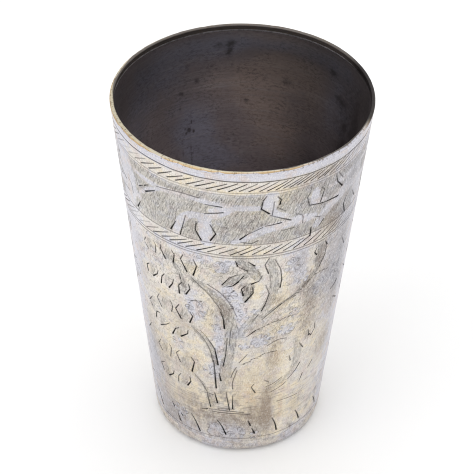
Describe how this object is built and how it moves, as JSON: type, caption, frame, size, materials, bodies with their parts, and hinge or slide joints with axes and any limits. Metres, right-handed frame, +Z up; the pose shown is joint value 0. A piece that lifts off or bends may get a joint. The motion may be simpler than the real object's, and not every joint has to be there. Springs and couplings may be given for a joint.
{
  "type": "engraved beaker",
  "caption": "Tall straight-sided open beaker of tinned sheet brass, engraved with rope bands, a frieze and a tree, for drinking or pouring.",
  "frame": {"origin": "on the ground, on the vessel's axis, under the standing ring", "axes": "+Z up along the vessel's axis; the brazed seam is towards +Y and the tree faces -Y"},
  "size_m": [0.115, 0.115, 0.178],
  "materials": {
    "tinned_brass": "worn tin over brass, satin, engraved",
    "bare_brass": "brass worn bare on a rounded lip",
    "braze": "filed brazing, dull",
    "solder": "dull grey solder"
  },
  "bodies": {
    "root": {"wall": "tinned_brass", "wall_seam": "braze", "base_pan": "tinned_brass", "base_solder": "solder", "rim_ring": "bare_brass", "rim_solder": "solder"}
  },
  "joints": []
}
